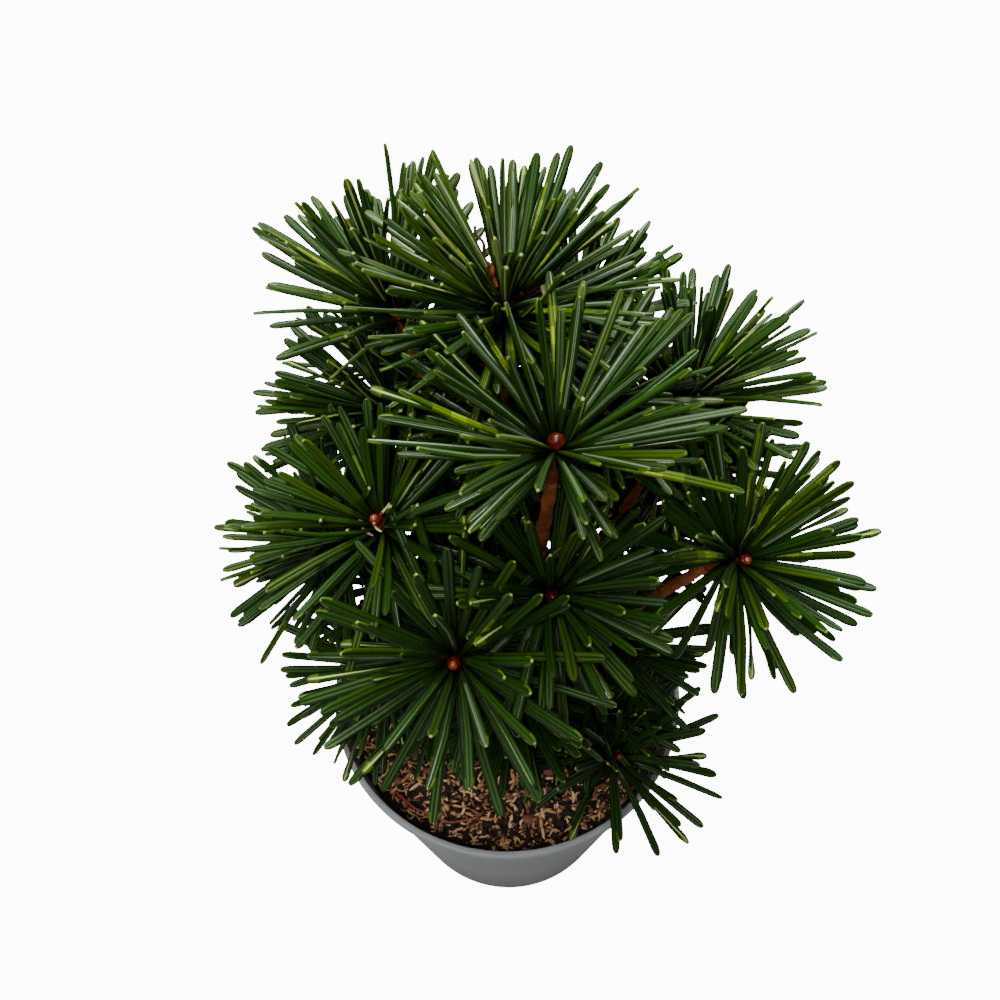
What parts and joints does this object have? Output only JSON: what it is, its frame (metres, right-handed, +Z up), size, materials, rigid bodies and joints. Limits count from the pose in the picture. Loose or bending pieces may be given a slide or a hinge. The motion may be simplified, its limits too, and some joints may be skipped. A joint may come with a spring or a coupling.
{
  "type": "potted dwarf umbrella pine",
  "caption": "Dwarf umbrella pine in a round tapered nursery pot: short leaning trunk, upturned boughs and whorls of thick glossy green needles round red-brown buds.",
  "frame": {"origin": "centre of the pot's flat underside, on the surface that the pot stands on", "axes": "+Z up along the pot's axis, +X to the right and +Y away from the viewer as the picture shows the plant"},
  "size_m": [0.2816, 0.2693, 0.4453],
  "materials": {
    "pot_plastic": "plain blue-grey moulded plastic, low sheen",
    "compost": "dark crumbly compost with pale husk flakes and bark chips",
    "bark": "red-brown bark, rough with small leaf-base bumps",
    "needles": "waxy dark green needles with a groove and pale blunt tips"
  },
  "bodies": {
    "root": {"pot": "pot_plastic", "compost": "compost", "trunk": "bark", "bough_front_high": "bark", "bough_right_front": "bark", "bough_front_left": "bark", "bough_front_middle": "bark", "bough_left": "bark", "bough_back_left_high": "bark", "bough_left_high": "bark", "bough_right_high": "bark", "bough_inner_left": "bark", "bough_inner_right": "bark", "bough_low_front_right": "bark", "bough_low_left": "bark", "bough_low_right": "bark", "bough_low_front": "bark", "bough_back_high": "bark", "bough_back_left": "bark", "bough_back": "bark", "bough_back_right": "bark", "bough_left_back_low": "bark", "bough_right_back_low": "bark", "bough_back_low": "bark", "needles_top": "needles", "needles_front_high": "needles", "needles_right_front": "needles", "needles_front_left": "needles", "needles_front_middle": "needles", "needles_left": "needles", "needles_back_left_high": "needles", "needles_left_high": "needles", "needles_right_high": "needles", "needles_inner_left": "needles", "needles_inner_right": "needles", "needles_low_front_right": "needles", "needles_low_left": "needles", "needles_low_right": "needles", "needles_low_front": "needles", "needles_back_high": "needles", "needles_back_left": "needles", "needles_back": "needles", "needles_back_right": "needles", "needles_left_back_low": "needles", "needles_right_back_low": "needles", "needles_back_low": "needles"}
  },
  "joints": []
}
